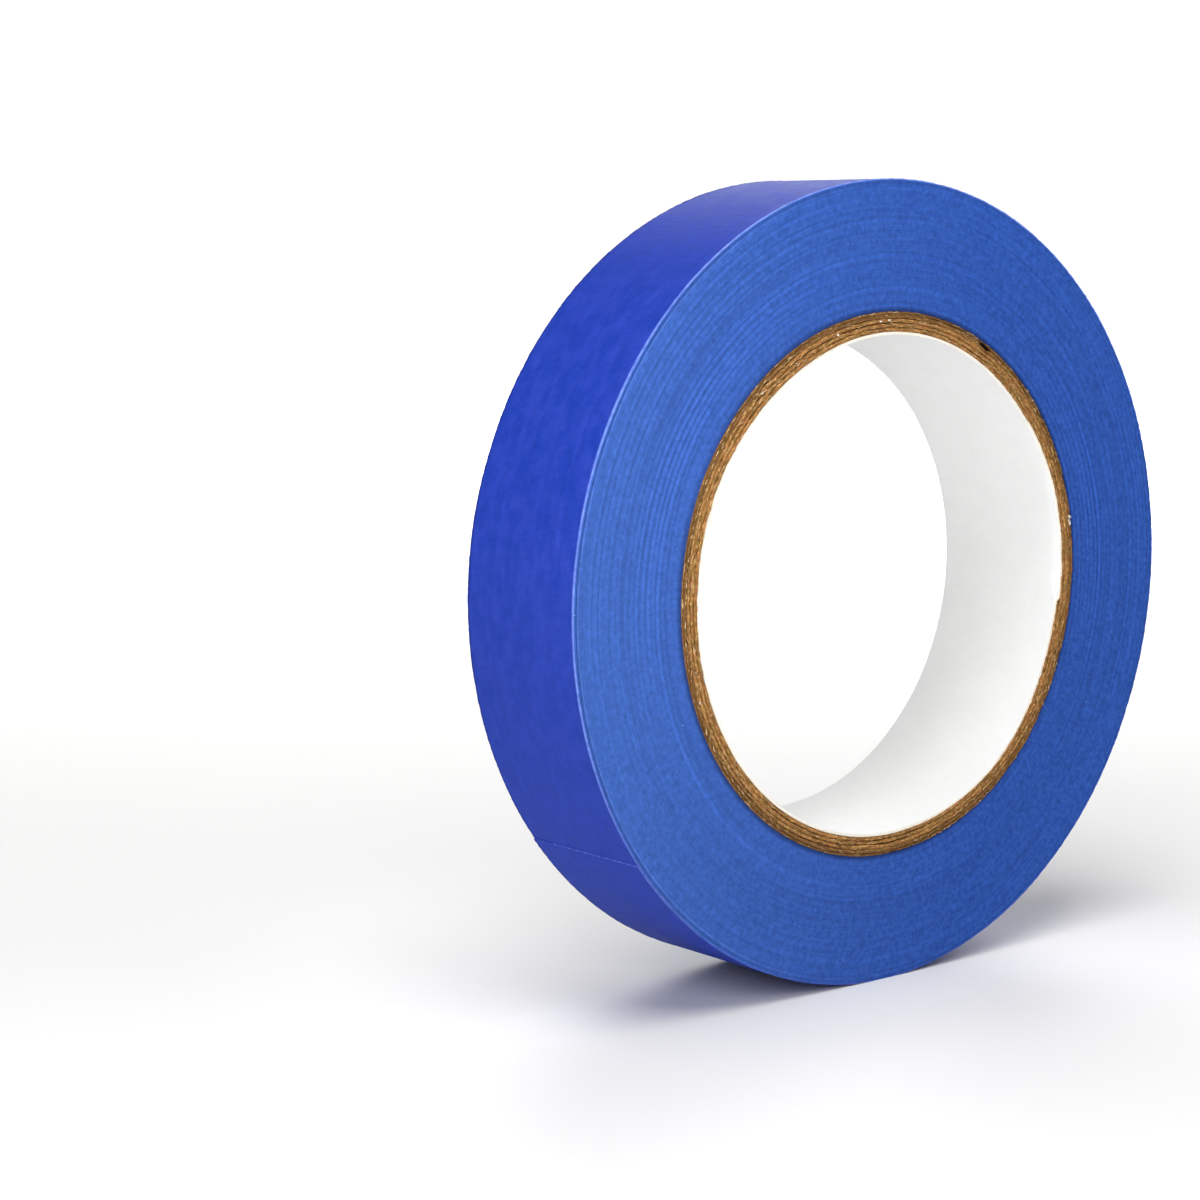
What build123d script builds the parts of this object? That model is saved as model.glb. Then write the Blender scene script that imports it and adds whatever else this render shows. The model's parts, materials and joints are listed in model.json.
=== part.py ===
from build123d import *
import os
from math import cos, sin, radians, degrees, ceil

# Roll of painter's masking tape standing on its rim, in millimetres. The roll's axis is Y and
# the origin is its centre. Angles are in degrees, from +X towards +Z, as seen from the front,
# which is the -Y side.

# Driving dimensions
bore_radius = 38.1            # standard 3 inch core
tape_width = 24.5             # nominal 1 inch tape, slit a little narrow
roll_radius = 61.3            # outside of the free end
tape_thickness = 0.13         # creped paper with its adhesive

# Core: a white liner, then brown plies counted outwards
liner_thickness = 0.4
inner_ply_thickness = 0.67
outer_ply_thickness = 0.37
inner_ply_count = 4

# Each strip of the core is wound on a slant, so its seam crosses the ring at a slant too.
seam_turn = 57                # turn of a seam from the front face to the back face
cutter_margin = 2             # how far the seam cutters run past the faces
cutter_steps = 4
cutter_radii = (30, 60)       # well inside and well outside the core

# Where each strip's seam starts on the front face, and how much of the ring it leaves open
liner_seam = (161, 0.3)
ply_seams = [(-8.5, 0.5), (148, 0.6), (-104, 0.5), (59.3, 2.5), (-37, 0.5)]

# The bit that is torn out of the first ply at the front face: where it starts and how much of
# the ring it takes, at the face and at its bottom
tear_depth = 5
tear_at_face = (-8.5, 47.5)
tear_at_bottom = (6, 16)

# Tape's free end
end_angle = -143.5            # where the free end lies on the rim
tail_turn = 14                # turn of the loose tail, from the free end to the peel line
tail_clearance = 0.03         # between the tail and the turn under it
root_clearance = 0.02         # between the tail and the turn that it leaves
arc_turn = 45                 # longest single arc of the spiral outline


def at(radius, angle):
    """A point of the XZ plane, from its radius and angle."""
    return (radius * cos(radians(angle)), radius * sin(radians(angle)))


def full_width(face):
    """A face of the XZ plane, made as wide as the tape."""
    return extrude(Plane.XZ * face, tape_width / 2, both=True)


def ring(inner_radius, outer_radius):
    return full_width(Circle(outer_radius) - Circle(inner_radius))


def wedge_section(start, opening, along):
    """A section of a cutter, so far behind the front face, that spans a part of the ring."""
    inner, outer = cutter_radii
    first, last = start, start + opening
    corners = [at(inner, first), at(outer, first), at(outer, last), at(inner, last)]
    y = along - tape_width / 2
    return Face(Wire.make_polygon([(x, y, z) for x, z in corners]))


def seam_cutter(start, opening):
    """A wedge that twists from the front to the back, as wide as the seam's opening."""
    length = tape_width + 2 * cutter_margin
    sections = []
    for step in range(cutter_steps + 1):
        along = step * length / cutter_steps - cutter_margin
        first = start + seam_turn * along / tape_width
        sections.append(wedge_section(first, opening, along))
    return loft(sections, ruled=True)


def tear_cutter():
    """A wedge that narrows from the front face to the bottom of the tear."""
    faces = [wedge_section(*tear_at_face, 0), wedge_section(*tear_at_bottom, tear_depth)]
    outside = extrude(faces[0], cutter_margin, dir=(0, -1, 0))
    return loft(faces, ruled=True) + outside


def core_strip(inner_radius, thickness, seam):
    """One strip of the core: a ring that its slanting seam splits."""
    return ring(inner_radius, inner_radius + thickness) - seam_cutter(*seam)


def spiral_point(turned, depth=0):
    """A point at a depth under the tape's outer face, turned so far back from the free end."""
    radius = roll_radius - tape_thickness * turned / 360 - depth
    return at(radius, end_angle + turned)


def spiral_arcs(first, last, depth=0):
    """The tape's outer face, or a line at a depth under it, as arcs from one turn to another."""
    count = ceil((last - first) / arc_turn)
    step = (last - first) / count
    arcs = []
    for i in range(count):
        start = first + i * step
        through = [spiral_point(start + share * step, depth) for share in (0, 0.5, 1)]
        arcs.append(ThreePointArc(*through))
    return arcs


def tape_winding(core_radius):
    """All the stuck turns as one pack, with a step as high as the tape at the peel line."""
    last = tail_turn + 360
    step = Line(spiral_point(last), spiral_point(tail_turn))
    outline = spiral_arcs(tail_turn, last) + [step]
    return full_width(make_face(outline) - Circle(core_radius))


def tape_tail():
    """The last of the tape, from the peel line to the free end."""
    depth = tape_thickness - tail_clearance
    root = tail_turn - degrees(root_clearance / roll_radius)
    outline = [
        *spiral_arcs(0, root),
        Line(spiral_point(root), spiral_point(root, depth)),
        *spiral_arcs(0, root, depth),
        Line(spiral_point(0, depth), spiral_point(0)),
    ]
    return full_width(make_face(outline))


def build():
    """Every sub-part by its node's name."""
    parts = {"core_liner": core_strip(bore_radius, liner_thickness, liner_seam)}
    radius = bore_radius + liner_thickness
    thicknesses = [inner_ply_thickness] * inner_ply_count + [outer_ply_thickness]
    for number, (thickness, seam) in enumerate(zip(thicknesses, ply_seams), 1):
        parts[f"core_ply_{number}"] = core_strip(radius, thickness, seam)
        radius += thickness
    parts["core_ply_1"] -= tear_cutter()
    parts["tape_winding"] = tape_winding(radius)
    parts["tape_tail"] = tape_tail()
    return parts


os.makedirs("parts", exist_ok=True)
for node, shape in build().items():
    export_step(shape, f"parts/{node}.step")

peel_line = spiral_point(tail_turn)
print("peel line at x, z:", [round(value, 4) for value in peel_line])
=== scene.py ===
import json
from math import atan2, cos, degrees, hypot, radians, sin

import bmesh
import bpy
import numpy as np
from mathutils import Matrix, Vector


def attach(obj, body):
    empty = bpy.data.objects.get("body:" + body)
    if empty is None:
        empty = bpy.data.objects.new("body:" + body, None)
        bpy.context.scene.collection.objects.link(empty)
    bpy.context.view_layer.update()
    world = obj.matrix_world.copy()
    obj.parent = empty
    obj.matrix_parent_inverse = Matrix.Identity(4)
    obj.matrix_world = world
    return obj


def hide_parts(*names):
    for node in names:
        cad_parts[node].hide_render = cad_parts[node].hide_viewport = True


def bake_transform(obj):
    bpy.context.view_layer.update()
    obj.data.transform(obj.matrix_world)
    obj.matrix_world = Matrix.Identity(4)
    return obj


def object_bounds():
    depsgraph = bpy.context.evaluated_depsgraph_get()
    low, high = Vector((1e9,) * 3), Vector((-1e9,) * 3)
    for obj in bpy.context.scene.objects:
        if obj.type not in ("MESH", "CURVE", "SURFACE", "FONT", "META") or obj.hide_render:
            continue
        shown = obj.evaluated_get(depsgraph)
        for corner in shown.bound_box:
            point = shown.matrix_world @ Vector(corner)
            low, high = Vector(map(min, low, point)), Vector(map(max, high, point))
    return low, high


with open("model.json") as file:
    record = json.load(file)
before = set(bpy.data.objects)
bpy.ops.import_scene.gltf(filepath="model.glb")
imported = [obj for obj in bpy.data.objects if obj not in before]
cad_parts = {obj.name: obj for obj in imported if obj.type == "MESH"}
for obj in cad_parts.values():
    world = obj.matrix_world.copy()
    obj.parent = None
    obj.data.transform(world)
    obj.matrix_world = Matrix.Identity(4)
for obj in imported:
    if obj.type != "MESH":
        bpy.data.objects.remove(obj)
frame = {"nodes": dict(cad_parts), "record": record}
cad_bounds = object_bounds()

# A roll of painter's masking tape. Lengths are in millimetres and angles in degrees, from +X
# towards +Z, as seen from the front, which is the -Y side. "Across" is along Y, from the front
# face to the back face. A share is a number from 0 to 1.
MM = 0.001                     # one millimetre, in Blender's metres


def radii(node):
    """The smallest and largest distance of a CAD node from the roll's axis."""
    found = [hypot(v.co.x, v.co.z) / MM for v in frame["nodes"][node].data.vertices]
    return min(found), max(found)


def angles(node):
    """The smallest and largest angle of a CAD node that doesn't go right round."""
    found = [degrees(atan2(v.co.z, v.co.x)) for v in frame["nodes"][node].data.vertices]
    return min(found), max(found)


# Sizes that the CAD model sets
BORE = next(m for m in frame["record"]["mounts"] if m["name"] == "core_bore")["dims"]
WIDTH = BORE["length_mm"]
PLIES = [f"core_ply_{number}" for number in range(1, 6)]
CORE_RADIUS = radii(PLIES[-1])[1]
ROLL_RADIUS = radii("tape_tail")[1]
END_ANGLE, PEEL_ANGLE = angles("tape_tail")
TAIL_TURN = PEEL_ANGLE - END_ANGLE
FLOOR_HEIGHT = cad_bounds[0][2]                                  # in metres

# The tape
TAPE_THICKNESS = 0.13
TAIL_THICKNESS = 0.1           # as the CAD tail, which clears the turn under it
CREASE_ENDS = (0.25, 18), (13.5, 8)            # on the tail, each along it and across it
TAPE_EDGE_ROWS = [0, 0.08, 0.18, 0.35, 0.7]    # the mesh's rows beside each slit edge

# The winding
PACK_COLUMNS = 316             # points in each turn
RING_TURN = 2850               # turn of the winding between the rings on its faces

# The last few turns stand forward of the others on the left: how many, how far, and between
# which angles, with the stretch that each side takes to rise
PROUD_TURNS, PROUD_HEIGHT = 4.5, 0.15
PROUD_ANGLES = (100, 255, 60)

# The core: where each strip's seam starts on the front face, and how much it leaves open
SEAM_TURN = 57                 # turn of a seam from the front face to the back face
LINER_SEAM = (161, 0.3)
PLY_SEAMS = [(-8.5, 0.5), (148, 0.2), (-104, 0.2), (59.3, 2.5), (-37, 0.2)]
LINER_EDGE_ROWS = [0, 0.15, 0.4, 0.7, 1.1, 1.7, 2.5, 3.5]

# The bit torn out of the first ply at the front face, from its seam on: how far the liner sinks
# into it at each of these turns, and how far across it takes to come most of the way back
TEAR_START = PLY_SEAMS[0][0]
TEAR_TURNS, TEAR_SINKS = (0, 1.1, 29, 45.5, 47.5), (0, 0.62, 0.62, 0.22, 0)
SINK_REACH = 0.7

# Torn bits of the liner's front edge, which stand into the bore: angle, spread and height
TORN_BITS = [(161, 1.1, 0.75), (175.2, 0.9, 0.35), (178.3, 0.7, 0.4)]

# Where the core is out of round at its front edge: angle, spread, and how far the bore and the
# outside of the core are pushed outwards
DENTS = [(-50, 21, 0.62, 0.26), (122, 22, -0.34, 0.02), (155, 14, 0.12, 0.18)]
DENT_DEPTH = 8                 # how far across the dents reach

POCKET_RADIUS = 41.08          # middle of the dark pocket at the fourth ply's seam
FIBRE_COUNT = 320              # loose fibres on each edge of a ply 1 mm thick

# Bits of white dust on the core's front edge: angle, radius and size
FLUFF = [(10.0, 41.2, 0.8), (11.2, 41.3, 0.8), (-160, 40.5, 0.4), (-166.5, 40.0, 0.3),
         (91, 40.25, 0.3), (93.5, 40.2, 0.36), (106.5, 40.0, 0.36), (131, 40.25, 0.34),
         (-28, 41.2, 0.22), (-72, 41.3, 0.22), (-68.5, 41.35, 0.26), (-64.5, 41.3, 0.24),
         (-60, 41.35, 0.26), (-57, 41.3, 0.2), (41, 41.3, 0.2)]


# Numbers and shapes

def noise(u, v, seed):
    """Smooth random values about 0, with one lump in each unit of u and v."""
    size = (2048, 64)
    table = np.random.default_rng(seed).standard_normal(size)
    u, v = np.broadcast_arrays(u, v)
    cell_u, cell_v = np.floor(u).astype(int), np.floor(v).astype(int)
    share_u, share_v = smooth(u - cell_u), smooth(v - cell_v)
    total = 0
    for step_u in (0, 1):
        for step_v in (0, 1):
            weight_u = share_u if step_u else 1 - share_u
            weight_v = share_v if step_v else 1 - share_v
            value = table[(cell_u + step_u) % size[0], (cell_v + step_v) % size[1]]
            total = total + value * weight_u * weight_v
    return total


def smooth(share):
    """A share eased in and out."""
    share = np.clip(share, 0, 1)
    return share * share * (3 - 2 * share)


def window(value, first, last, soft):
    """1 between first and last, and 0 outside them, over soft edges."""
    return smooth((value - first) / soft) * smooth((last - value) / soft)


def bell(value, spread):
    """1 at 0, falling smoothly to almost nothing at twice the spread."""
    return np.exp(-((value / spread) ** 2))


def away(angle, centre):
    """How far an angle is from another, round the circle."""
    return (angle - centre + 180) % 360 - 180


def wander(turned, spacing, amount, seed):
    """A random shift along the strip, with a new value in each `spacing` degrees of turn."""
    count = int(turned.max() / spacing) + 2
    knots = np.random.default_rng(seed).normal(0, amount, count)
    return np.interp(turned / spacing, np.arange(count), knots)


def spiral_radius(turned):
    """The tape's outer radius, turned so far back from its free end."""
    return ROLL_RADIUS - TAPE_THICKNESS * turned / 360


def out_of_round(angle, across, inward):
    """How far the dents push a point outwards. `inward` is 1 at the bore and 0 at the tape."""
    total = 0
    for centre, spread, bore_push, outer_push in DENTS:
        push = outer_push + (bore_push - outer_push) * inward
        total = total + push * bell(away(angle, centre), spread)
    return total * bell(across, DENT_DEPTH)


def polar(angle, radius, across):
    """Points in Blender's metres. `across` runs from the front face."""
    turn = np.radians(angle)
    points = [radius * np.cos(turn), across - WIDTH / 2, radius * np.sin(turn)]
    return np.stack(np.broadcast_arrays(*points), axis=-1) * MM


# Mesh pieces

def mesh_piece(name, points, faces, material):
    """A closed smooth mesh, with its faces turned outwards and its corners kept sharp."""
    mesh = bpy.data.meshes.new(name)
    mesh.from_pydata(points.reshape(-1, 3).tolist(), [], faces)
    turned = bmesh.new()
    turned.from_mesh(mesh)
    bmesh.ops.recalc_face_normals(turned, faces=turned.faces)
    turned.to_mesh(mesh)
    turned.free()
    mesh.polygons.foreach_set("use_smooth", [True] * len(mesh.polygons))
    mesh.set_sharp_from_angle(angle=radians(50))
    mesh.materials.append(material)
    piece = bpy.data.objects.new(name, mesh)
    bpy.context.scene.collection.objects.link(piece)
    return piece


def section(edge_steps, rows):
    """A closed loop round a strip's section, as shares of its thickness and its width."""
    rise = np.linspace(0, 1, edge_steps + 1)[:-1]
    count = len(rows) - 1
    thick = np.concatenate([rise, np.ones(count), 1 - rise, np.zeros(count)])
    flat = np.zeros(edge_steps)
    wide = np.concatenate([flat, rows[:-1], flat + 1, rows[::-1][:-1]])
    return thick[None], wide[None]


def strip_piece(name, points, material):
    """A strip from its sections' points: quads between them, and a cap on each end."""
    index = np.arange(points.shape[0] * points.shape[1]).reshape(points.shape[:2])
    after = np.roll(index, -1, axis=1)
    quads = np.stack([index[:-1], index[1:], after[1:], after[:-1]], axis=-1)
    faces = quads.reshape(-1, 4).tolist() + [index[0].tolist(), index[-1][::-1].tolist()]
    return mesh_piece(name, points, faces, material)


def edge_rows(count, fine):
    """Shares of the width: evenly spaced rows, and fine ones, in mm, beside both edges."""
    near = np.array(fine) / WIDTH
    middle = np.linspace(near[-1], 1 - near[-1], count)[1:-1]
    return np.concatenate([near, middle, 1 - near[::-1]])


def edges_out(across, wide, relief):
    """Positions across a strip, with its two side edges moved outwards by a relief."""
    side = 2 * wide - 1
    return across + np.sign(side) * relief * (np.abs(side) > 0.999)


# The tape

def crepe_relief(along, across):
    """The creped paper's wrinkles and its streaks along the tape, in mm. `along` is in mm too."""
    wrinkles = noise(along / 0.7 + 0.4 * noise(along / 3, across / 1.2, 11), across / 1.1, 12)
    streaks = noise(along / 14, across / 0.55, 13)
    slow = noise(along / 7, across / 4, 14)
    return 0.006 * wrinkles + 0.005 * streaks + 0.009 * slow


def edge_relief(along, across):
    """How far the slit edges stand proud of the tape's face: a fine beaded crest."""
    beads = 1 + 0.45 * noise(along / 0.5, 0 * along, 21)
    return 0.05 * beads * bell(across, 0.16) + 0.035 * beads * bell(WIDTH - across, 0.16)


def tape_points(turned, thick, wide, thickness):
    """Points on a length of tape near the rim, with its relief on the outer face."""
    along = np.radians(turned) * ROLL_RADIUS
    across = wide * WIDTH
    relief = (crepe_relief(along, across) + edge_relief(along, across)) * thick
    relief = relief * (1 - 0.8 * smooth((turned - 359.5) / 0.5))    # pressed flat under the tail
    radius = spiral_radius(turned) - thickness * (1 - thick) + relief
    slit = 0.018 * noise(along / 0.5, 3 * wide, 22) + 0.03 * noise(along / 9, 3 * wide, 23)
    return radius, edges_out(across, wide, slit)


def make_outer_turn(material):
    """The outermost stuck turn, from the peel line right round to under the tail."""
    thick, wide = section(2, edge_rows(19, TAPE_EDGE_ROWS))
    turned = TAIL_TURN + np.linspace(0, 360, 2600)[:, None]
    radius, across = tape_points(turned, thick, wide, TAPE_THICKNESS)
    points = polar(END_ANGLE + turned, radius, across)
    piece = strip_piece("tape_outer_turn", points, material)
    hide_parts("tape_winding")
    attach(piece, "roll")


def tail_lift(turned, wide):
    """How far the free end stands off the roll: most at its back corner."""
    return 0.06 * smooth(1 - turned / 4) * smooth((wide - 0.7) / 0.3)


def crease(along, across):
    """A slanting crease that stands up across the tail."""
    start, end = CREASE_ENDS
    length = hypot(end[0] - start[0], end[1] - start[1])
    direction = ((end[0] - start[0]) / length, (end[1] - start[1]) / length)
    reach = (along - start[0]) * direction[0] + (across - start[1]) * direction[1]
    side = (along - start[0]) * direction[1] - (across - start[1]) * direction[0]
    return 0.045 * bell(side, 0.3) * window(reach, 0, length, 2.5)


def tail_materials(columns, thick, wide):
    """Each face's material: 0 on the outside, 1 at the cut end, on the caps and on a painted
    highlight strip beside the end, 2 inside.
    """
    loop = thick.shape[1]
    index = np.arange((columns - 1) * loop)
    place = index % loop
    # Painted highlight: a narrow pale strip of the outside, beside the cut end.
    pale = (index < 2 * loop) & (thick[0] == 1)[place] & (wide[0] < 0.8)[place]
    sides = np.where((thick[0] == 0)[place], 2, np.where(pale, 1, 0))
    return np.append(sides, [1, 1]).astype(np.int32)


def make_tail(rim, cut, adhesive):
    """The loose end of the tape, with a pale cut end: torn fibres and a painted highlight."""
    columns = 240
    thick, wide = section(2, edge_rows(40, TAPE_EDGE_ROWS))
    turned = np.linspace(0, TAIL_TURN, columns)[:, None]
    thickness = TAIL_THICKNESS + 0.02 * smooth(1 - turned / 1.5)    # thickest at its end
    radius, across = tape_points(turned, thick, wide, thickness)
    along = np.radians(turned) * ROLL_RADIUS
    radius = radius + tail_lift(turned, wide) + crease(along, across)
    points = polar(END_ANGLE + turned, radius, across)
    piece = strip_piece("tape_tail_end", points, rim)
    piece.data.materials.append(cut)
    piece.data.materials.append(adhesive)
    indices = tail_materials(columns, thick, wide)
    piece.data.polygons.foreach_set("material_index", indices)
    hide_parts("tape_tail")
    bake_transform(piece)


def proud_turns(turned, angle):
    """How far the last few turns stand forward of the others, on the roll's left side."""
    depth = np.maximum((turned - TAIL_TURN) / 360, 0)
    count = PROUD_TURNS * window(angle % 360, *PROUD_ANGLES)
    return PROUD_HEIGHT * smooth(count - depth)


def face_wander(turned, angle, seed):
    """The uneven edge of the strip as it is wound: bands of turns, single turns and crepe."""
    stands_out = 0.3 + 0.7 * smooth(np.sin(np.radians(angle)) + 0.6)    # flatter at the bottom
    drift = wander(turned, 2 * RING_TURN, 0.16, seed + 4)
    rings = 0.04 * np.sin(2 * np.pi * (turned / RING_TURN + drift))
    rings = rings * (1 + wander(turned, 3000, 0.35, seed))
    bands = rings + wander(turned, 700, 0.028, seed + 1)
    turns = wander(turned, 61, 0.016, seed + 2)
    crepe = wander(turned, 1.3, 0.009, seed + 3)
    return (bands + turns) * stands_out + crepe


def winding_faces(count):
    """Faces of the pack: the spirals of both sides, the first and last turns, and their steps."""
    last = count - PACK_COLUMNS - 1                                  # where the last turn starts
    start = np.arange(last)
    across_turn = start + PACK_COLUMNS
    front = np.stack([start, start + 1, across_turn + 1, across_turn], axis=-1)
    walls = []
    for i in (np.arange(PACK_COLUMNS), np.arange(last, count - 1)):
        walls.append(np.stack([i, i + 1, i + 1 + count, i + count], axis=-1))
    steps = [[0, PACK_COLUMNS, PACK_COLUMNS + count, count],
             [last, count - 1, 2 * count - 1, last + count]]
    return np.concatenate([front, front[:, ::-1] + count, *walls]).tolist() + steps


def make_winding(material):
    """All the turns under the outermost one, as one pack whose faces are the spiral's edges."""
    first = TAIL_TURN + 360
    pack_radius = spiral_radius(first)
    height = pack_radius - CORE_RADIUS
    spiral_count = int(height / TAPE_THICKNESS * PACK_COLUMNS)
    count = spiral_count + PACK_COLUMNS - 4    # a last turn on the core, from just above it
    turned = first + 360 * np.arange(count) / PACK_COLUMNS
    angle = END_ANGLE + turned
    radius = np.maximum(spiral_radius(turned), CORE_RADIUS)
    near_core = smooth((pack_radius - radius) / height)
    front = -face_wander(turned, angle, 31) - proud_turns(turned, angle)
    back = WIDTH + face_wander(turned, angle, 41)
    sides = []
    for across in (front, back):
        pushed = radius + out_of_round(angle, across, 0) * near_core
        sides.append(polar(angle, pushed, across))
    faces = winding_faces(count)
    piece = mesh_piece("tape_pack", np.stack(sides), faces, material)
    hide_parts("tape_winding")
    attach(piece, "roll")


# The core

def core_radius(angle, across, radius):
    """A radius of the core with the dents of its front edge in it."""
    inward = (CORE_RADIUS - radius) / (CORE_RADIUS - BORE["r_mm"])
    return radius + out_of_round(angle, across, inward)


def cut_edge(angle, share, seed):
    """Relief of a ply's cut edge, outwards: a crown between two glue lines, and fibres."""
    arc = np.radians(angle) * CORE_RADIUS
    glue_line = 0.26 + 0.17 * np.clip(noise(arc / 9, 2 * share, seed + 2), -1.2, 1.2)
    crown = 0.1 - glue_line * np.abs(2 * share - 1) ** 4
    fine, coarse = noise(arc / 0.6, share * 3.3, seed), noise(arc / 2.4, share * 1.7, seed + 1)
    return crown + (0.07 * fine + 0.06 * coarse)


def pocket_depth(angle, radius, wide):
    """How far the edge is worn back round the open end of the fourth ply's seam."""
    start, opening = PLY_SEAMS[3]
    along = np.radians(away(angle, start + opening / 2 + SEAM_TURN * wide)) * CORE_RADIUS
    lens = (along / 1.5) ** 2 + ((radius - POCKET_RADIUS) / 0.34) ** 2
    return 0.7 * np.exp(-lens ** 3)


def liner_sink(angle, across):
    """How far the liner curls outwards where the ply behind it is torn. The step at the tear's
    start is sharp at the front face, and gets softer behind it."""
    from_seam = away(angle - SEAM_TURN * across / WIDTH, TEAR_START)
    softer = smooth(from_seam / (TEAR_TURNS[1] + 4 * across))
    return np.interp(from_seam, TEAR_TURNS, TEAR_SINKS) * softer * np.exp(-across / SINK_REACH)


def ply_points(number, columns, thick, wide):
    """Points of one brown strip, wound on a slant, with its seam as open as it is."""
    inner, outer = radii(PLIES[number])
    start, opening = PLY_SEAMS[number]
    opening = opening * (0.1 + 0.9 * smooth(3 * thick))              # tighter on the inner side
    along = np.linspace(0, 1, columns)[:, None]
    angle = start + opening + (360 - opening) * along + SEAM_TURN * wide
    across = wide * WIDTH + 0 * angle
    radius = core_radius(angle, across, inner + (outer - inner) * thick)
    if number == 0:
        radius = radius + liner_sink(angle, across) * (1 - thick)
    relief = cut_edge(angle, thick, 50 + 3 * number) - pocket_depth(angle, radius, wide)
    return polar(angle, radius, edges_out(across, wide, relief))


def make_ply(number, board, fibre):
    """One brown strip of the core, and the loose fibres on its edges."""
    node = PLIES[number]
    points = ply_points(number, 640, *section(6, np.linspace(0, 1, 17)))
    strip = strip_piece(f"{node}_board", points, board)
    for piece in (strip, make_fibres(number, fibre)):
        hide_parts(node)
        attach(piece, "roll")


def sliver_faces(count):
    """Faces of slivers that have three sections of three corners each."""
    quads = np.array([[3 * k + a, 3 * k + b, 3 * k + 3 + b, 3 * k + 3 + a]
                      for k in (0, 1) for a, b in ((0, 1), (1, 2), (2, 0))])
    base = 9 * np.arange(count)
    faces = (base[:, None, None] + quads[None]).reshape(-1, 4).tolist()
    for cap in ([0, 2, 1], [6, 7, 8]):
        faces += (base[:, None] + np.array(cap)[None]).tolist()
    return faces


def slivers(angle, middle, length, heading, lift, width):
    """Bent slivers with three-sided sections: their angles, radii, heights and faces.

    Each argument has a value for each sliver. A sliver lies round the roll, turned outwards by
    its heading in radians, and one of its ends is lifted."""
    faces = sliver_faces(len(angle))
    angle, middle, length, heading, lift, width = (
        np.asarray(values)[:, None, None]
        for values in (angle, middle, length, heading, lift, width))
    step = np.array([-0.5, 0, 0.5])[None, :, None]
    corner = np.radians(120 * np.arange(3))[None, None, :]
    bend = 0.12 * length * (1 - 4 * step ** 2) * np.sign(heading)
    radius = middle + step * length * np.sin(heading) + bend + width * np.cos(corner)
    turn = angle + np.degrees(step * length * np.cos(heading) / CORE_RADIUS)
    height = 0.03 + lift * (1 - step) + width * np.sin(corner)
    return turn, radius, height, faces


def make_fibres(number, material):
    """Loose paper fibres that lie on both cut edges of a ply."""
    inner, outer = radii(PLIES[number])
    start, opening = PLY_SEAMS[number]
    random = np.random.default_rng(80 + number)
    count = 2 * int(FIBRE_COUNT * (outer - inner))
    at_back = np.arange(count) % 2
    angle = start + opening + random.uniform(0.8, 359.2 - opening, count) + SEAM_TURN * at_back
    turn, radius, height, faces = slivers(
        angle, random.uniform(inner + 0.1, outer - 0.08, count),
        random.uniform(0.25, 1.1, count), random.normal(0, 0.16, count),
        random.uniform(0.02, 0.14, count), random.uniform(0.035, 0.07, count))
    at_back = at_back[:, None, None]
    across = np.where(at_back == 1, WIDTH + height, -height)
    lowest = inner + (0 if number else liner_sink(turn, 0) * (at_back == 0))
    radius = np.clip(radius, np.minimum(lowest + 0.05, outer), outer)
    points = polar(turn, core_radius(turn, across, radius), across)
    return mesh_piece(f"{PLIES[number]}_fibres", points, faces, material)


def make_fluff(material):
    """Bits of white paper dust that cling to the core's front edge."""
    random = np.random.default_rng(91)
    angle, middle, size = (np.repeat(values, 4) for values in zip(*FLUFF))
    count = len(angle)
    turn, radius, height, faces = slivers(
        angle + random.normal(0, 0.2, count), middle, size * random.uniform(0.6, 1.1, count),
        random.uniform(-1.2, 1.2, count), random.uniform(0.05, 0.15, count), 0.13 * size)
    radius = core_radius(turn, -height, radius)
    points = polar(turn, radius, -0.08 - height)
    piece = mesh_piece("core_liner_fluff", points, faces, material)
    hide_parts("core_liner")
    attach(piece, "roll")


def torn_edge(angle, across):
    """How far torn bits of the liner stand into the bore at its front edge."""
    ragged = 1 + 0.35 * noise(angle * 3, 0 * angle, 71)
    total = 0
    for centre, spread, height in TORN_BITS:
        total = total + height * ragged * np.exp(-((away(angle, centre) / spread) ** 4))
    return total * bell(across, 0.35)


def liner_points(thick, wide):
    """Points of the white liner, sunk into the tear behind it, with torn bits and fuzzy edges."""
    inner, outer = radii("core_liner")
    start, opening = LINER_SEAM
    turned = np.linspace(0, 360 - opening, 1300)[:, None]
    angle = start + opening + turned + SEAM_TURN * wide
    across = wide * WIDTH + 0 * angle
    arc = np.radians(angle) * inner
    radius = core_radius(angle, across, inner + (outer - inner) * thick)
    radius = radius + liner_sink(angle, across) - torn_edge(angle, across) * (1 - thick)
    radius = radius + 0.012 * noise(arc / 5, across / 4, 75)
    fuzz = 0.03 + 0.03 * noise(arc / 0.4, 2 * thick, 76)
    return polar(angle, radius, edges_out(across, wide, fuzz))


def make_liner(material):
    """The white inner strip of the core."""
    points = liner_points(*section(3, edge_rows(20, LINER_EDGE_ROWS)))
    piece = strip_piece("core_liner_paper", points, material)
    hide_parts("core_liner")
    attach(piece, "roll")


# Materials

# A lump size for noise that doesn't change in that direction
FAR = 50

# Colours, as linear red, green, blue and alpha. A pair is a darker and a paler shade.
RIM_BLUES = (0.0125, 0.043, 0.375, 1), (0.022, 0.05, 0.393, 1)
# Pale fibres and a painted highlight on the rim's slit edge
RIM_CREST_FIBRE_AND_HIGHLIGHT_BLUE = (0.25, 0.38, 0.95, 1)
# Pale torn fibres of the cut end, lightened as a painted highlight
END_FIBRE_AND_HIGHLIGHT_BLUES = (0.03, 0.07, 0.5, 1), (0.12, 0.2, 0.72, 1)
ADHESIVE_BLUE = (0.03, 0.085, 0.42, 1)
FACE_BLUES = (0.02, 0.08, 0.395, 1), (0.03, 0.1, 0.435, 1)
# Painted light on the face's left side
PAINTED_LEFT_LIGHT_BLUE = (0.062, 0.148, 0.49, 1)
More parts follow.
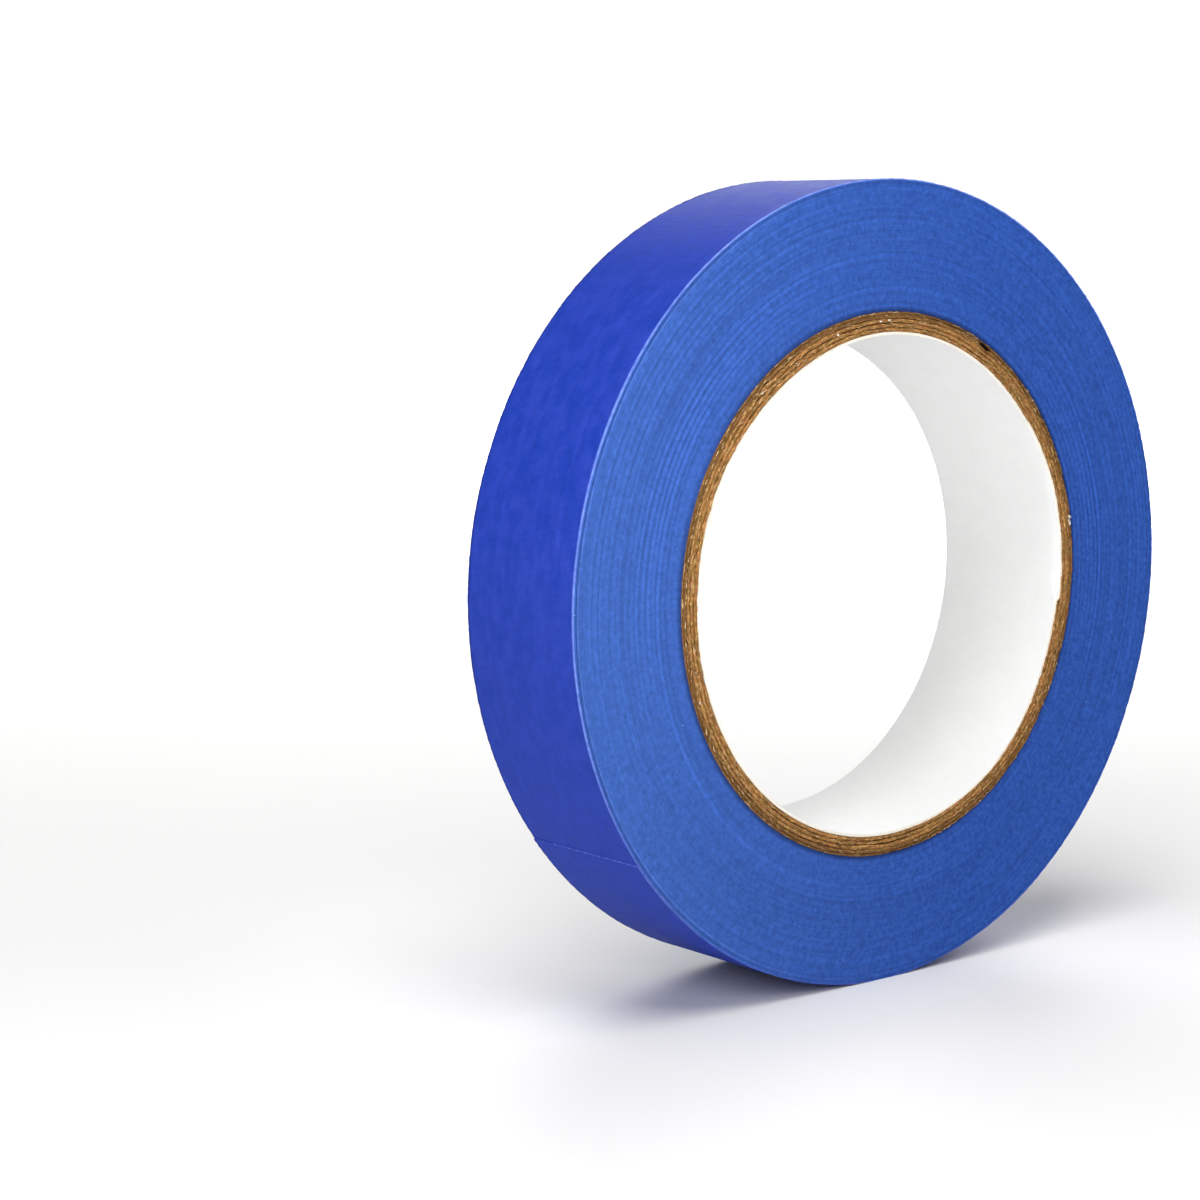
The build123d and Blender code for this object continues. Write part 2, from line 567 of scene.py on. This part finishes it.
# Painted highlight near the rim on the face
FACE_HIGHLIGHT_BLUE = (0.13, 0.27, 0.85, 1)
DUST_BLUE = (0.5, 0.6, 0.85, 1)
BOARD_BROWNS = (0.28, 0.15, 0.035, 1), (0.4, 0.17, 0.054, 1)
GOLDEN_FIBRE, DARK_FIBRE = (0.82, 0.5, 0.19, 1), (0.13, 0.055, 0.014, 1)
# A darker band in the outermost ply
OUTER_PLY_BROWN = (0.09, 0.042, 0.013, 1)
# Painted shade in the board's recesses
RECESS_SHADE = (0.012, 0.006, 0.003, 1)
LOOSE_FIBRES = (0.36, 0.19, 0.06, 1), (0.8, 0.6, 0.34, 1)
LINER_WHITE, LINER_CREAM = (0.8, 0.8, 0.795, 1), (0.98, 0.91, 0.78, 1)
FLOOR_WHITE = (0.83, 0.825, 0.815, 1)
WHITE = (1, 1, 1, 1)


class Material:
    """A node material with one Principled shader, and short calls that add nodes to it."""

    def __init__(self, name, roughness, specular):
        self.data = bpy.data.materials.new(name)
        self.data.use_nodes = True
        self.tree = self.data.node_tree
        self.shader = self.tree.nodes["Principled BSDF"]
        self.shader.inputs["Roughness"].default_value = roughness
        self.shader.inputs["Specular IOR Level"].default_value = specular
        place = self.add("ShaderNodeTexCoord", {}).outputs["Object"]
        self.x, self.y, self.z = self.add("ShaderNodeSeparateXYZ", {0: place}).outputs
        self.radius = self.length(self.x, self.z)
        self.turn_x = self.math("DIVIDE", self.x, self.radius)
        self.turn_z = self.math("DIVIDE", self.z, self.radius)

    def add(self, kind, values, **settings):
        """A new node with these settings and inputs."""
        node = self.tree.nodes.new(kind)
        for name, value in settings.items():
            setattr(node, name, value)
        for key, value in values.items():
            self.feed(node.inputs[key], value)
        return node

    def feed(self, socket, value):
        """Link another node's output to a socket, or set the socket's own value."""
        if isinstance(value, bpy.types.NodeSocket):
            self.tree.links.new(value, socket)
        else:
            socket.default_value = value

    def math(self, operation, first, second=0.0):
        return self.add("ShaderNodeMath", {0: first, 1: second}, operation=operation).outputs[0]

    def product(self, *factors):
        result = factors[0]
        for factor in factors[1:]:
            result = self.math("MULTIPLY", result, factor)
        return result

    def length(self, first, second):
        """The length of a flat vector from its two sides."""
        squares = [self.product(side, side) for side in (first, second)]
        return self.math("SQRT", self.math("ADD", *squares))

    def noise(self, around, outward, across, detail=2.0, roughness=0.5):
        """Noise with lumps of these sizes in mm: round the roll, outwards, and across it."""
        turn = ROLL_RADIUS / around
        place = self.add("ShaderNodeCombineXYZ", {
            0: self.product(self.turn_x, turn), 1: self.product(self.turn_z, turn),
            2: self.math("DIVIDE", self.radius, outward * MM)}).outputs[0]
        values = {"Vector": place, "W": self.math("DIVIDE", self.y, across * MM), "Scale": 1.0,
                  "Detail": detail, "Roughness": roughness}
        return self.add("ShaderNodeTexNoise", values, noise_dimensions="4D").outputs[0]

    def spread(self, value, low, high, first, last):
        """A value between low and high, spread over first to last."""
        values = {0: value, 1: low, 2: high, 3: first, 4: last}
        return self.add("ShaderNodeMapRange", values).outputs[0]

    def vary(self, value, first, last):
        """A noise, which is mostly between 0.3 and 0.7, spread over first to last."""
        return self.spread(value, 0.3, 0.7, first, last)

    def mix(self, share, first, second, blend="MIX"):
        """A colour with a share of a second one in it."""
        values = {0: share, 6: first, 7: second}
        node = self.add("ShaderNodeMix", values, data_type="RGBA", blend_type=blend)
        return node.outputs[2]

    def scale_colour(self, colour, factor):
        """A colour made lighter or darker by a factor."""
        grey = self.add("ShaderNodeCombineColor", {0: factor, 1: factor, 2: factor}).outputs[0]
        return self.mix(1.0, colour, grey, "MULTIPLY")

    def edge_distance(self):
        """How far inside the nearer side face a point is, in mm."""
        from_middle = self.math("ABSOLUTE", self.y)
        inside = self.math("SUBTRACT", WIDTH / 2 * MM, from_middle)
        return self.math("DIVIDE", inside, MM)

    def finish(self, colour, roughness, height, depth):
        """Colour, roughness and a bump whose depth is in mm."""
        self.feed(self.shader.inputs["Base Color"], colour)
        self.feed(self.shader.inputs["Roughness"], roughness)
        values = {"Height": height, "Distance": depth * MM, "Strength": 1.0}
        self.feed(self.shader.inputs["Normal"], self.add("ShaderNodeBump", values).outputs[0])
        return self.data


def rim_material():
    """The tape's printed side: matte violet-blue crepe, a slit edge of pale fibres and painted
    highlight, and painted shade at the back edge.
    """
    made = Material("crepe_tape_rim", 0.65, 0.1)
    wrinkles = made.noise(0.6, FAR, 1.3, 3)
    mottle = made.noise(3, FAR, 2, 3)
    streaks = made.noise(25, FAR, 0.5)
    fibres = made.noise(2.5, FAR, 0.16)
    shade = made.product(made.vary(wrinkles, 0.93, 1.07), made.vary(mottle, 0.95, 1.05),
                         made.vary(streaks, 0.94, 1.06), made.vary(fibres, 0.95, 1.05))
    blue = made.mix(made.spread(mottle, 0.35, 0.65, 0.0, 1.0), *RIM_BLUES)
    front = made.math("DIVIDE", made.math("ADD", made.y, WIDTH / 2 * MM), MM)
    beads = made.spread(made.noise(0.8, FAR, FAR, 1), 0.3, 0.65, 0.6, 1.0)
    # The crest, which is largely a painted highlight, is weaker towards the bottom.
    fades_low = made.spread(made.turn_z, -0.95, -0.1, 0.25, 1.0)          # away at the bottom
    crest = made.product(made.spread(front, 0.12, 0.45, 1.0, 0.0), beads, fades_low)
    # Painted shade: the rim is darker along its back edge.
    back = made.spread(front, WIDTH - 0.5, WIDTH - 0.1, 1.0, 0.6)
    shaded = made.scale_colour(blue, made.product(shade, back))
    # The crest mixes in pale slit-edge fibres and a painted highlight where the edge catches the
    # light.
    colour = made.mix(made.product(crest, 0.9), shaded, RIM_CREST_FIBRE_AND_HIGHLIGHT_BLUE)
    height = made.math("ADD", wrinkles, made.product(fibres, 0.5))
    return made.finish(colour, made.vary(mottle, 0.55, 0.68), height, 0.03)


def tape_end_material():
    """The cut end of the tape: pale torn crepe fibres, lightened further as a painted highlight.
    """
    made = Material("crepe_tape_end", 0.7, 0.2)
    fibres = made.noise(0.5, FAR, 0.4)
    colour = made.mix(made.spread(fibres, 0.4, 0.6, 0.0, 1.0), *END_FIBRE_AND_HIGHLIGHT_BLUES)
    return made.finish(colour, made.vary(fibres, 0.65, 0.75), fibres, 0.01)


def adhesive_material():
    """The tape's underside: the same blue paper under a glossier coat of adhesive."""
    made = Material("crepe_tape_adhesive", 0.35, 0.5)
    coat = made.noise(2, FAR, 1.2, 3)
    colour = made.scale_colour(ADHESIVE_BLUE, made.vary(coat, 0.92, 1.08))
    return made.finish(colour, made.vary(coat, 0.3, 0.45), coat, 0.02)


def face_shade(made, turns, blotches, inward):
    """How light the side face is, with painted shade in the gap under the last turns and beside
    the core.
    """
    rings = made.noise(160, 0.6, FAR, 1)
    bands = made.noise(120, 1.1, FAR)
    specks = made.noise(0.45, 0.3, FAR, 2, 0.6)
    # Painted shade in the gap under the last turns.
    gap = made.product(made.spread(inward, 0.3, 0.4, 0.0, 0.2),
                       made.spread(inward, 0.6, 0.75, 1.0, 0.0))
    # Painted shade beside the core.
    beside_core = (CORE_RADIUS + 0.1) * MM, (CORE_RADIUS + 0.9) * MM
    return made.product(
        made.vary(turns, 0.88, 1.12), made.vary(rings, 0.92, 1.08), made.vary(bands, 0.93, 1.07),
        made.vary(blotches, 0.86, 1.14), made.vary(specks, 0.92, 1.08),
        made.spread(made.radius, *beside_core, 0.4, 1.0), made.math("SUBTRACT", 1.0, gap))


def face_painted_highlight(made, inward):
    """How much painted highlight there is: a light line near the rim, on the left only."""
    left = made.spread(made.turn_x, -0.1, -0.6, 0.0, 0.5)
    return made.product(left, made.spread(inward, 0.8, 0.9, 0.0, 1.0),
                        made.spread(inward, 0.95, 1.1, 1.0, 0.0),
                        made.spread(made.noise(1.5, FAR, FAR), 0.35, 0.6, 0.4, 1.0))


def face_material():
    """The pack's side face: the cut edges of all the turns, with rings, blotches and dust."""
    made = Material("crepe_tape_edge", 0.65, 0.15)
    turns = made.noise(60, 0.27, FAR, 3, 0.6)
    blotches = made.noise(0.9, 0.8, FAR, 2, 0.6)
    inward = made.math("SUBTRACT", ROLL_RADIUS, made.math("DIVIDE", made.radius, MM))
    blue = made.mix(made.spread(blotches, 0.35, 0.7, 0.0, 1.0), *FACE_BLUES)
    # Painted light: the face is paler on the left, where more light falls.
    painted_left_light = made.spread(made.x, -50 * MM, 20 * MM, 0.5, 0.0)       # paler on the left
    blue = made.mix(painted_left_light, blue, PAINTED_LEFT_LIGHT_BLUE)
    # Painted highlight: a light line near the rim, on the left.
    blue = made.mix(face_painted_highlight(made, inward), blue, FACE_HIGHLIGHT_BLUE)
    shaded = made.scale_colour(blue, face_shade(made, turns, blotches, inward))
    dust = made.spread(made.noise(0.6, 0.5, FAR, 1), 0.785, 0.83, 0.0, 0.6)
    colour = made.mix(dust, shaded, DUST_BLUE)
    height = made.math("ADD", turns, blotches)
    return made.finish(colour, made.vary(blotches, 0.65, 0.8), height, 0.05)


def outer_ply_darkening(made):
    """How much darker the board is: most just inside its outermost ply."""
    rise = (CORE_RADIUS - 1.2) * MM, (CORE_RADIUS - 0.6) * MM
    fall = (CORE_RADIUS - 0.4) * MM, (CORE_RADIUS - 0.15) * MM
    return made.product(made.spread(made.radius, *rise, 0.0, 0.62),
                        made.spread(made.radius, *fall, 1.0, 0.8))


def board_material():
    """Brown kraft board: golden fibres and dark strata, with painted shade where it is recessed.
    """
    made = Material("core_board_cut", 0.75, 0.2)
    strata = made.noise(10, 0.14, 2, 2, 0.6)
    fibres = made.noise(0.9, 0.16, 0.5, 2, 0.6)
    mottle = made.noise(1.3, 0.5, 1)
    hue = made.noise(2.2, 0.45, 3)
    brown = made.mix(made.spread(hue, 0.38, 0.62, 0.0, 1.0), *BOARD_BROWNS)
    golden = made.mix(made.spread(fibres, 0.54, 0.68, 0.0, 0.8), brown, GOLDEN_FIBRE)
    fibrous = made.mix(made.spread(fibres, 0.32, 0.45, 0.75, 0.0), golden, DARK_FIBRE)
    shade = made.product(made.vary(strata, 0.75, 1.22), made.vary(mottle, 0.76, 1.22))
    stained = made.mix(outer_ply_darkening(made), made.scale_colour(fibrous, shade), OUTER_PLY_BROWN)
    # Painted shade: the board turns near black deeper than 0.26 mm inside its side faces.
    recess_shade = made.spread(made.edge_distance(), 0.0, 0.26, 0.0, 1.0)
    colour = made.mix(recess_shade, stained, RECESS_SHADE)
    return made.finish(colour, made.vary(fibres, 0.7, 0.9), fibres, 0.12)


def fibre_material():
    """Loose kraft fibres, from brown to pale straw."""
    made = Material("core_board_fibre", 0.7, 0.25)
    tone = made.noise(1.5, 0.4, 5, 1)
    colour = made.mix(made.spread(tone, 0.4, 0.7, 0.0, 1.0), *LOOSE_FIBRES)
    return made.finish(colour, made.vary(tone, 0.65, 0.8), tone, 0.01)


def liner_material():
    """White uncoated paper, cream at its cut edges."""
    made = Material("liner_paper_white", 0.7, 0.25)
    cloud = made.noise(6, FAR, 5, 3)
    fibres = made.noise(0.9, FAR, 0.3)
    shade = made.product(made.vary(cloud, 0.985, 1.015), made.vary(fibres, 0.98, 1.02))
    cut = made.spread(made.edge_distance(), 0.0, 0.1, 0.8, 0.0)
    colour = made.mix(cut, made.scale_colour(LINER_WHITE, shade), LINER_CREAM)
    return made.finish(colour, made.vary(cloud, 0.65, 0.75), fibres, 0.01)


def floor_material():
    """A pale floor that glows white further away: painted light in place of a lit backdrop."""
    made = Material("studio_floor", 0.6, 0.3)
    made.feed(made.shader.inputs["Base Color"], FLOOR_WHITE)
    made.feed(made.shader.inputs["Emission Color"], WHITE)
    distance = made.length(made.x, made.y)
    # Painted light: the floor glows more the further it is from the roll.
    glow = made.spread(distance, 0.1, 0.9, 0.0, 1.1)
    made.feed(made.shader.inputs["Emission Strength"], glow)
    return made.data


# The studio, in metres

def towards(azimuth, elevation):
    """The direction from the roll to a viewer. Azimuth 0 is in front, and it grows to +X."""
    turn, rise = radians(azimuth), radians(elevation)
    return Vector((sin(turn) * cos(rise), -cos(turn) * cos(rise), sin(rise)))


def make_floor():
    """A square floor under the roll, 12 m wide."""
    square = ((-6, -6), (6, -6), (6, 6), (-6, 6))
    mesh = bpy.data.meshes.new("studio_floor")
    mesh.from_pydata([(x, y, FLOOR_HEIGHT) for x, y in square], [], [(0, 1, 2, 3)])
    mesh.materials.append(floor_material())
    floor = bpy.data.objects.new("studio_floor", mesh)
    bpy.context.scene.collection.objects.link(floor)


def make_light(name, azimuth, elevation, distance, size, power):
    """A square soft light that faces the roll."""
    light = bpy.data.lights.new(name, "AREA")
    light.size = size
    light.energy = power
    lamp = bpy.data.objects.new(name, light)
    lamp.location = towards(azimuth, elevation) * distance
    lamp.rotation_euler = towards(azimuth, elevation).to_track_quat("Z", "Y").to_euler()
    bpy.context.scene.collection.objects.link(lamp)


def make_lights():
    """Two soft lights above, two on the left, a weak fill on the right, and one behind."""
    make_light("top_front", -42, 70, 1.0, 0.6, 6.7)
    make_light("top_left", -100, 70, 1.0, 0.5, 1.2)
    make_light("left_close", -50, 14, 0.21, 0.1, 0.16)
    make_light("left_far", -60, 25, 1.2, 0.8, 3.8)
    make_light("right_fill", 26, 28, 1.0, 0.4, 0.4)
    make_light("backdrop", 136, 30, 1.6, 1.0, 12.5)


def make_world(horizon, overhead, seen_strength):
    """A backdrop that the camera sees as white, and that lights the scene only weakly."""
    world = bpy.data.worlds.new("studio")
    world.use_nodes = True
    nodes, links = world.node_tree.nodes, world.node_tree.links
    direction = nodes.new("ShaderNodeSeparateXYZ")
    links.new(nodes.new("ShaderNodeTexCoord").outputs["Generated"], direction.inputs[0])
    light = nodes.new("ShaderNodeMapRange")
    links.new(direction.outputs["Z"], light.inputs[0])
    light.inputs["To Min"].default_value = horizon
    light.inputs["To Max"].default_value = overhead
    seen = nodes.new("ShaderNodeMix")
    links.new(nodes.new("ShaderNodeLightPath").outputs["Is Camera Ray"], seen.inputs[0])
    links.new(light.outputs[0], seen.inputs[2])
    seen.inputs[3].default_value = seen_strength
    links.new(seen.outputs[0], nodes["Background"].inputs["Strength"])
    nodes["Background"].inputs["Color"].default_value = WHITE
    bpy.context.scene.world = world


def make_camera():
    """The camera of a close product view, aimed a little to the left of the roll's centre."""
    azimuth, elevation, distance = -43.87, 7.11, 0.4345
    yaw, pitch = 4.80, 0.47
    camera = bpy.data.objects.new("camera", bpy.data.cameras.new("camera"))
    camera.data.lens = 83.64
    camera.data.sensor_width = 36
    camera.data.clip_start = 0.01
    camera.location = towards(azimuth, elevation) * distance
    aim = towards(azimuth + yaw, elevation + pitch)
    camera.rotation_euler = aim.to_track_quat("Z", "Y").to_euler()
    bpy.context.scene.collection.objects.link(camera)
    bpy.context.scene.camera = camera


def make_roll():
    """Every piece of the roll, with its materials."""
    rim, board, fibre, liner = rim_material(), board_material(), fibre_material(), liner_material()
    make_winding(face_material())
    make_outer_turn(rim)
    make_tail(rim, tape_end_material(), adhesive_material())
    for number in range(len(PLIES)):
        make_ply(number, board, fibre)
    make_liner(liner)
    make_fluff(liner)


make_roll()
make_floor()
make_world(0.03, 0.05, 1.05)
make_lights()
make_camera()
bpy.context.scene.view_settings.view_transform = "Standard"
